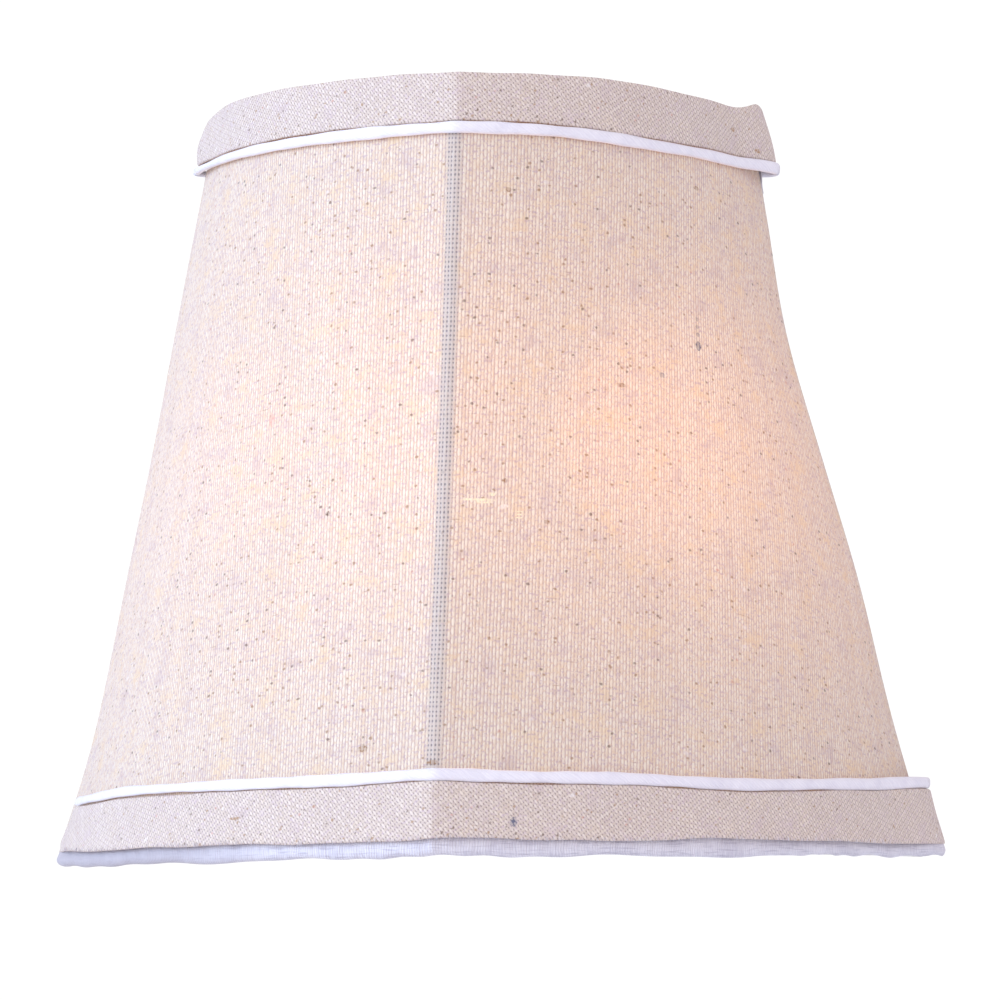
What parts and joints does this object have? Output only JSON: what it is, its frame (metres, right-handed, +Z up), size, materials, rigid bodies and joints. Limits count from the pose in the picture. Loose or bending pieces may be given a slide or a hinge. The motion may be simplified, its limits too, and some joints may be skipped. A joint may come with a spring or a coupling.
{
  "type": "lamp shade",
  "caption": "Bell-shaped linen half shade with an open back, piped trims, a wire frame and a swivelling sprung clip that grips a small bulb.",
  "frame": {"origin": "on the surface that the shade stands on, below the middle of its overall box", "axes": "+Z up, -Y towards the front rib, +Y towards the open back, +X to the right seen from the front"},
  "size_m": [0.1534, 0.081, 0.131],
  "materials": {
    "natural_linen": "slubby natural linen in plain weave, matt",
    "bias_linen": "the same linen cut on the bias, folded double, matt",
    "white_piping": "smooth white cotton piping, soft sheen",
    "white_lining": "thin white lining cloth, slight sheen",
    "white_satin": "cool white satin strip with fine ribs",
    "frame_wire": "drawn steel wire, plated",
    "clip_steel": "brassed spring steel"
  },
  "bodies": {
    "shade": {"linen_cover": "natural_linen", "lining": "white_lining", "top_trim": "bias_linen", "bottom_trim": "bias_linen", "top_piping": "white_piping", "bottom_piping": "white_piping", "top_binding": "white_satin", "bottom_binding": "white_satin", "top_wire": "frame_wire", "bottom_wire": "frame_wire", "center_rib": "frame_wire", "left_side_strut": "frame_wire", "right_side_strut": "frame_wire", "clip_bar": "frame_wire", "left_clip_stop": "clip_steel", "right_clip_stop": "clip_steel"},
    "clip": {"clip_sleeve": "clip_steel"},
    "left_loop": {"left_clip_loop": "clip_steel"},
    "right_loop": {"right_clip_loop": "clip_steel"}
  },
  "joints": [
    {"name": "clip_tilt", "type": "hinge", "parent": "shade", "child": "clip", "pos_m": [0, 0.03661, 0.066], "axis": [1, 0, 0], "range_deg": [-40, 40]},
    {"name": "right_loop_spring", "type": "hinge", "parent": "clip", "child": "right_loop", "pos_m": [0.005, 0.03181, 0.066], "axis": [0, 0, 1], "range_deg": [0, 12], "stiffness_Nm_per_rad": 0.1},
    {"name": "left_loop_spring", "type": "hinge", "parent": "clip", "child": "left_loop", "pos_m": [-0.005, 0.03181, 0.066], "axis": [0, 0, -1], "range_deg": [0, 12], "stiffness_Nm_per_rad": 0.1}
  ],
  "couplings": [
    {"joint": "left_loop_spring", "follows": "right_loop_spring", "ratio": 1}
  ]
}
